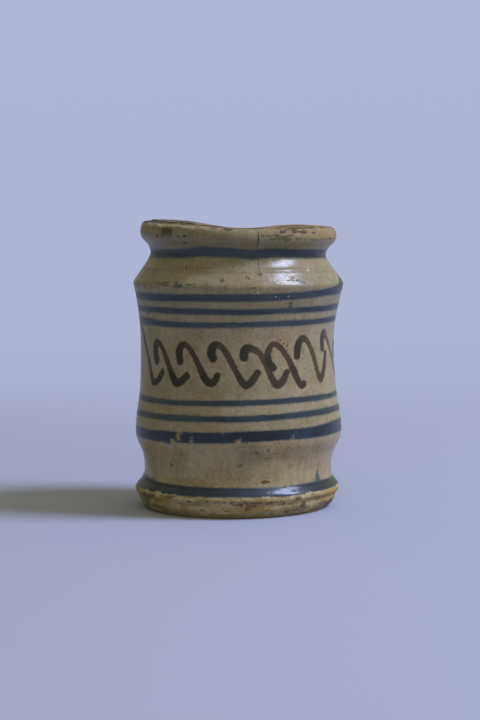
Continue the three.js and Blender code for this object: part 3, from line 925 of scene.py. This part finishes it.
glazeDepth, glazeShine = 0.00015, 0.2
outerTones = {
    "low": (180, 161, 118), "belly": (164, 147, 117), "waist": (168, 152, 121), "shoulder": (144, 134, 104),
    "lip": (140, 129, 100), "rosy": (164, 141, 112), "olive": (124, 122, 84), "orange": (156, 122, 80),
    "pale": (184, 176, 152), "grime": (88, 75, 53), "crackLine": (56, 45, 34), "speck": (66, 54, 39),
    "fleck": (200, 188, 154), "blueThin": (80, 93, 94), "blueThick": (22, 39, 58), "blueDeep": (8, 18, 30),
    "blueGreen": (54, 74, 74), "brownThin": (98, 76, 52), "brownMiddle": (72, 54, 41), "brownThick": (38, 34, 27),
    "stain": (70, 54, 50), "rust": (96, 58, 30), "smudge": (54, 47, 30), "dull": (86, 73, 48), "green": (78, 81, 48),
    "gold": (150, 124, 76), "rubbed": (122, 104, 84), "bare": (154, 134, 104), "buff": (176, 158, 118),
    "topDarken": (72, 60, 42), "crustEdge": (178, 164, 130),
}
zones = [(0.0, "low"), (0.21, "low"), (0.3, "belly"), (0.42, "waist"), (0.64, "waist"), (0.74, "shoulder"),
         (0.86, "shoulder"), (0.95, "lip"), (1.0, "lip")]
rimColours = [("rimGold", 0.5, "gold"), ("rimPale", 0.6, "bare"), ("rimDark", 0.8, "stain"),
              ("rimGreen", 0.75, "green"), ("rimLine", 0.85, "dull"), ("darkSmudges", 0.75, "smudge")]


def buildOuterGlaze():
    material = newMaterial("paintedGlaze")
    tone = shades(outerTones)
    place = objectPlace()
    height = heightOf(place)
    mottle = placed(mottleGroup, place)
    broad, middle, fine, runs, turns = (mottle[name] for name in ("Broad", "Middle", "Fine", "Runs", "Turns"))
    grain = summed((fine, 0.6), (middle, 0.4), (1.0, -0.5))

    def painted(name, feather, softness, grow=0.0):  # a mark's share: its edge wanders by feather, blurs by softness
        edge = summed((attribute(name), 1.0), (grain, feather), (1.0, grow))
        return eased(edge, -softness, softness)

    # The glaze itself, which goes from tone to tone with the height, with its patches, dirt and specks.
    level = calc("DIVIDE", height, turning["lipTop"] * millimetre)
    grit = eased(noiseOf(place, 0.0007, 2.0, 0.6), 0.4, 0.66)
    # Darker under the lip and above the flange, where the wall turns in.
    underLip = times(eased(height, 0.131, 0.137), eased(height, 0.1425, 0.138))
    aboveFlange = eased(height, 0.0215, 0.0165)
    recess = times(calc("MAXIMUM", underLip, aboveFlange), middle)
    crackle = placed(crackleGroup, place, Size=0.0046, Width=0.03)["Line"]
    dust = placed(specksGroup, place, Spacing=0.0017, Size=0.26, Share=0.22)["Spot"]
    specks = placed(specksGroup, place, Spacing=0.0046, Size=0.11, Share=0.4)["Spot"]
    colour = layered(
        ramp(level, [(at, tone[name]) for at, name in zones]), tone,
        (patch(place, 0.11, 0.021, 0.42, 0.62), 0.34, "rosy"),
        (patch(place, 0.37, 0.013, 0.46, 0.64), 0.38, "olive"),
        (patch(place, 0.83, 0.0075, 0.5, 0.66), 0.26, "orange"), (runs, 0.2, "grime"), (middle, 0.24, "pale"),
        (painted("orangePatches", 2.4, 1.3), 0.32, "orange"), (painted("olivePatches", 2.4, 1.3), 0.42, "olive"),
        (painted("palePatches", 2.0, 1.0), 0.4, "pale"), (fine, 0.26, "grime"), (grit, 0.16, "speck"),
        (recess, 0.2, "grime"), (crackle, 0.14, "crackLine"), (times(dust, broad), 0.55, "speck"),
        (specks, 0.65, "speck"), (painted("dullSpots", 0.8, 0.4, 0.2), 0.65, "dull"))

    # The painting: the blue sinks into the glaze with a green halo, and the brown is darker where more was held.
    bandInk = attribute("bandInk")
    load = summed((attribute("bandLoad"), 1.0), (turns, -0.12), (middle, -0.12), (fine, -0.1), (1.0, 0.14))
    load = times(load, eased(bandInk, -0.1, 0.9, 0.72, 1.0))
    blue = mixed(calc("MINIMUM", load, 1.0), tone["blueThin"], tone["blueThick"])
    tone["blue"] = layered(blue, tone, (eased(load, 0.92, 1.12), 0.8, "blueDeep"))
    halo = times(eased(bandInk, -1.3, 0.1), eased(middle, 0.0, 1.0, 0.5, 1.0))
    held = summed((attribute("scrollLoad"), 1.0), (middle, -0.16), (fine, -0.12), (1.0, 0.1))
    held = times(held, eased(attribute("scrollInk"), -0.1, 0.8, 0.7, 1.0))
    browns = ((0.0, "brownThin"), (0.42, "brownMiddle"), (0.9, "brownThick"), (1.0, "brownThick"))
    tone["brown"] = ramp(held, [(at, tone[name]) for at, name in browns])
    colour = layered(
        colour, tone, (halo, 0.34, "blueGreen"), (painted("bandInk", 0.4, 0.45), 0.97, "blue"),
        (painted("blueSpots", 0.9, 0.5, 0.25), 0.8, "blueGreen"), (painted("scrollInk", 0.5, 0.4), 0.95, "brown"))

    # What time did to it: spots, pits, the crack, lost and rubbed glaze, and the lip worn to the clay.
    pits = painted("pits", 0.3, 0.15, 0.08)
    flecks = painted("paleFlecks", 0.4, 0.2, 0.1)
    split = times(painted("crack", 0.3, 0.14, 0.04), eased(height, 0.116, 0.137, 0.5, 0.95))
    lost = painted("lostGlaze", 2.6, 1.1, -0.1)
    streaks = summed((attribute("rubbed"), 1.0), (turns, 1.6), (middle, 1.4), (1.0, -1.8))
    tone["streak"] = mixed(fine, tone["bare"], tone["rubbed"])
    colour = layered(
        colour, tone, (painted("rustSpots", 0.5, 0.22, 0.18), 0.85, "rust"),
        (painted("darkStrokes", 0.4, 0.16, 0.1), 0.75, "smudge"), (pits, 0.75, "speck"), (flecks, 0.55, "fleck"),
        (split, 1.0, "crackLine"), (lost, 0.72, "buff"), (eased(streaks, -0.5, 1.4), 0.75, "streak"))
    biscuit = placed(biscuitGroup, place)
    worn = eased(summed((attribute("wear"), 1.0), (middle, 0.7), (fine, 0.5), (1.0, -0.6)), -0.2, 0.25)
    # The top of the lip is laid darker, most at the left and the back.
    colour = layered(mixed(worn, colour, biscuit["Color"]), tone, (painted("rimTopDarken", 1.6, 0.6), 0.72, "topDarken"))
    for name, strength, toneName in rimColours:
        colour = layered(colour, tone, (painted(name, 0.7, 0.2, 0.12), strength, toneName))

    # The crust at the foot, with a pale rim along its edge.
    crust = placed(crustGroup, place)
    uneven = summed((attribute("crusty"), 1.0), (middle, 1.2), (fine, 0.5), (1.0, -0.85))
    crusty = eased(uneven, -0.25, 0.35)
    paleRim = times(eased(uneven, 1.1, 0.3), eased(middle, 0.25, 0.7))
    colour = mixed(crusty, colour, layered(crust["Color"], tone, (paleRim, 0.26, "crustEdge")))

    dull = calc("MAXIMUM", calc("MAXIMUM", worn, lost), calc("MAXIMUM", eased(streaks, -1.2, 0.4), crusty))
    roughness = summed((broad, 0.06), (fine, 0.06), (dull, 0.45), (1.0, 0.36))
    gloss = calc("MAXIMUM", summed((dull, -0.4), (fine, -0.1), (1.0, 0.42)), 0.0)
    relief = summed(
        (middle, 0.34), (fine, 0.15), (turns, 0.12), (specks, -0.5), (pits, -1.2), (flecks, 0.3), (split, -0.25),
        (worn, -0.8), (lost, -0.6), (crackle, -0.06), (attribute("ripple"), 3.0), (grit, 0.06),
        (times(crusty, crust["Relief"]), 2.4), (times(worn, biscuit["Relief"]), 1.2))
    finished(colour, roughness, relief, glazeDepth, glazeShine, gloss)
    return material


innerTones = {"buff": (158, 146, 118), "grey": (142, 136, 114), "dust": (120, 108, 84), "crackLine": (84, 72, 52),
              "speck": (74, 62, 44)}


def buildInnerGlaze():
    material = newMaterial("plainGlaze")
    tone = shades(innerTones)
    place = objectPlace()
    height = heightOf(place)
    mottle = placed(mottleGroup, shifted(place, 0.31))
    middle = mottle["Middle"]
    settled = times(eased(height, 0.045, 0.012), eased(middle, 0.0, 1.0, 0.5, 1.0))
    crackle = placed(crackleGroup, place, Size=0.0058, Width=0.03)["Line"]
    specks = placed(specksGroup, place, Spacing=0.0042, Size=0.12, Share=0.25)["Spot"]
    mouth = eased(summed((height, 1.0), (middle, 0.002)), 0.1405, 0.1435)
    colour = layered(
        mixed(mottle["Broad"], tone["grey"], tone["buff"]), tone, (mottle["Runs"], 0.35, "grey"),
        (settled, 0.8, "dust"), (crackle, 0.4, "crackLine"), (specks, 0.7, "speck"))
    colour = mixed(mouth, colour, placed(biscuitGroup, place)["Color"])
    roughness = summed((mottle["Broad"], 0.1), (settled, 0.4), (mouth, 0.5), (1.0, 0.16))
    relief = summed((mottle["Turns"], 0.4), (mottle["Fine"], 0.15), (specks, -0.5), (mouth, -1.0))
    gloss = calc("MAXIMUM", summed((settled, -0.4), (mouth, -0.5), (1.0, 0.5)), 0.0)
    finished(colour, roughness, relief, glazeDepth, glazeShine, gloss)
    return material


clayTones = {"underside": (172, 140, 100), "rubbed": (186, 162, 120)}
clayDepth, clayShine = 0.00045, 0.35


def buildBareClay():
    material = newMaterial("bareClay")
    tone = shades(clayTones)
    place = objectPlace()
    height = heightOf(place)
    mottle = placed(mottleGroup, shifted(place, 0.63))
    biscuit, crust = placed(biscuitGroup, place), placed(crustGroup, place)
    below = layered(biscuit["Color"], tone, (mottle["Broad"], 0.7, "underside"),
                    (eased(height, 0.0004, 0.0), 0.5, "rubbed"))
    above = eased(height, 0.02, 0.03)
    footShare = times(eased(height, 0.0006, 0.0018), calc("SUBTRACT", 1.0, above))
    colour = mixed(above, mixed(footShare, below, crust["Color"]), biscuit["Color"])
    relief = mixed(footShare, biscuit["Relief"], crust["Relief"])
    roughness = summed((mottle["Middle"], 0.2), (footShare, -0.1), (1.0, 0.66))
    finished(colour, roughness, relief, clayDepth, clayShine, 0.0)
    return material


mottleGroup = buildMottle()
specksGroup = buildSpecks()
crackleGroup = buildCrackle()
biscuitGroup = buildBiscuit()
crustGroup = buildCrust()
turningTree = buildTurningTree()
print("node groups built")


def buildClayBody():
    t, rings = turning, turning["rings"]
    ringInside = wallLevels["foot"]["radius"] - t["ringWidth"]
    underside = [(0.0, t["recess"]), (ringInside - t["recessSlope"], t["recess"]), (ringInside, 0.0), footPart[0]]
    outline = np.vstack([
        evenly(underside, rings["underside"]), evenly(footPart, rings["foot"])[1:], fitted(glazedPart),
        evenly(lipTop, rings["lip"])[1:], fitted(inside)[1:],
    ])
    piece = turned("clay_body_fired", outline, buildBareClay())
    paintFoot(piece.data)
    return piece


def buildOuterCoat():
    piece = turned("outer_glaze_painted", coatOf(glazedPart, turning["rings"]["outerCoat"]), buildOuterGlaze())
    for paint in (paintBands, paintScrolls, paintMarks, paintFoot):
        paint(piece.data)
    return piece


def buildInnerCoat():
    return turned("inner_glaze_plain", coatOf(inside, turning["rings"]["innerCoat"]), buildInnerGlaze(), ridge=3.0)


for build, nodeName, slotName in ((buildClayBody, "clay_body", "clay"),
                                  (buildOuterCoat, "outer_glaze", "outer_glaze"),
                                  (buildInnerCoat, "inner_glaze", "inner_glaze")):
    made = build()
    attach(made, "root")
    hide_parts(nodeName)
print("the jar is turned and painted")


# The table top and backdrop: one pale sheet of paper that curves up behind the jar.
stage = {"front": -1.6, "back": 2.6, "bendRadius": 1.2, "rise": 3.4, "halfWidth": 0.75, "bendSteps": 24,
         "paper": (162, 164, 182), "floor": (167, 173, 203), "middle": (174, 181, 211), "top": (181, 190, 225)}


def buildSweep():
    s = stage
    bendStart, radius = s["back"] - s["bendRadius"], s["bendRadius"]
    outline = [(s["front"], 0.0), (bendStart, 0.0)]
    for k in range(s["bendSteps"]):
        turn = math.radians(90 * (k + 1) / s["bendSteps"])
        outline.append((bendStart + radius * math.sin(turn), radius * (1 - math.cos(turn))))
    outline.append((s["back"], s["rise"]))
    points = [(x, y, z) for y, z in outline for x in (-s["halfWidth"], s["halfWidth"])]
    faces = [(2 * k, 2 * k + 1, 2 * k + 3, 2 * k + 2) for k in range(len(outline) - 1)]
    mesh = bpy.data.meshes.new("sweep")
    mesh.from_pydata(points, [], faces)
    mesh.polygons.foreach_set("use_smooth", [True] * len(faces))
    sweep = added("sweep", mesh)
    material = newMaterial("palePaper")
    place = objectPlace()
    parts = node("ShaderNodeSeparateXYZ", {0: place}).outputs
    # Seen by the camera, the paper farther back glows instead of taking the lamps' light: painted light, lighter
    # towards the back and the top.
    seen = mixed(eased(parts[1], 0.25, 1.3), shade(*s["floor"]), shade(*s["middle"]))
    seen = mixed(eased(parts[2], 0.0, 1.6), seen, shade(*s["top"]))
    bump = node("ShaderNodeBump", {"Height": noiseOf(place, 0.002), "Distance": 0.00005}).outputs[0]
    inputs = {"Base Color": shade(*s["paper"]), "Roughness": 0.95, "Normal": bump}
    lit = node("ShaderNodeBsdfPrincipled", inputs).outputs[0]
    glow = node("ShaderNodeEmission", {"Color": seen, "Strength": 1.0}).outputs[0]
    path = node("ShaderNodeLightPath").outputs
    share = times(path["Is Camera Ray"], eased(parts[1], 0.12, 0.7))
    surface = node("ShaderNodeMixShader", {0: share, 1: lit, 2: glow}).outputs[0]
    node("ShaderNodeOutputMaterial", {"Surface": surface})
    mesh.materials.append(material)


# One cool window high on the right, and the warm dim room all round, which is darker towards its left side.
# Lengths are metres.
window = {"azimuth": 80.0, "elevation": 48.0, "distance": 3.0, "width": 0.86, "sill": -0.6, "head": 0.72,
          "power": 110.0, "tint": (0.62, 0.68, 1.0), "aimHeight": 0.075}
room = {"tint": (1.0, 1.0, 0.72), "strength": 0.5, "leftShare": 0.35,
        "darkSide": -0.8, "lightSide": 0.5, "ceiling": 0.8}


def buildWindow():
    turn, rise = math.radians(window["azimuth"]), math.radians(window["elevation"])
    away = np.array([math.cos(rise) * math.sin(turn), -math.cos(rise) * math.cos(turn), math.sin(rise)])
    upwards = np.array([-math.sin(rise) * math.sin(turn), math.sin(rise) * math.cos(turn), math.cos(rise)])
    sill, head = window["sill"], window["head"]
    data = bpy.data.lights.new("window", "AREA")
    data.shape, data.size, data.size_y = "RECTANGLE", window["width"], head - sill
    data.energy, data.color = window["power"], window["tint"]
    lamp = added("window", data)
    lamp.location = away * window["distance"] + upwards * (sill + head) / 2 + (0.0, 0.0, window["aimHeight"])
    lamp.rotation_euler = (math.pi / 2 - rise, 0.0, turn)


def buildRoom():
    world = bpy.data.worlds.new("room")
    world.use_nodes = True
    tree = opened(world.node_tree)
    side = node("ShaderNodeSeparateXYZ", {0: node("ShaderNodeTexCoord").outputs["Generated"]}).outputs
    lit = summed((side[0], 1.0), (side[2], room["ceiling"]))
    share = eased(lit, room["darkSide"], room["lightSide"], room["leftShare"], 1.0)
    background = tree.nodes["Background"]
    tree.links.new(times(share, room["strength"]), background.inputs["Strength"])
    background.inputs["Color"].default_value = (*room["tint"], 1.0)
    bpy.context.scene.world = world


# The photograph's view, from a little above the lip. It is rolled so that the picture's right side rises.
view = {"lens": 100.0, "sensor": 36.0, "place": (1.11, -1024.8, 159.4), "pitch": 4.72, "roll": 0.4, "yaw": -0.033}


def buildCamera():
    data = bpy.data.cameras.new("camera")
    data.lens, data.sensor_width = view["lens"], view["sensor"]
    data.clip_start, data.clip_end = 0.05, 50.0
    camera = added("camera", data)
    camera.location = [length * millimetre for length in view["place"]]
    camera.rotation_euler = [math.radians(turn) for turn in (90.0 - view["pitch"], view["roll"], view["yaw"])]
    bpy.context.scene.camera = camera


buildSweep()
buildWindow()
buildRoom()
buildCamera()
bpy.context.scene.view_settings.view_transform = "Standard"
print("the stage, the lights and the camera are set")
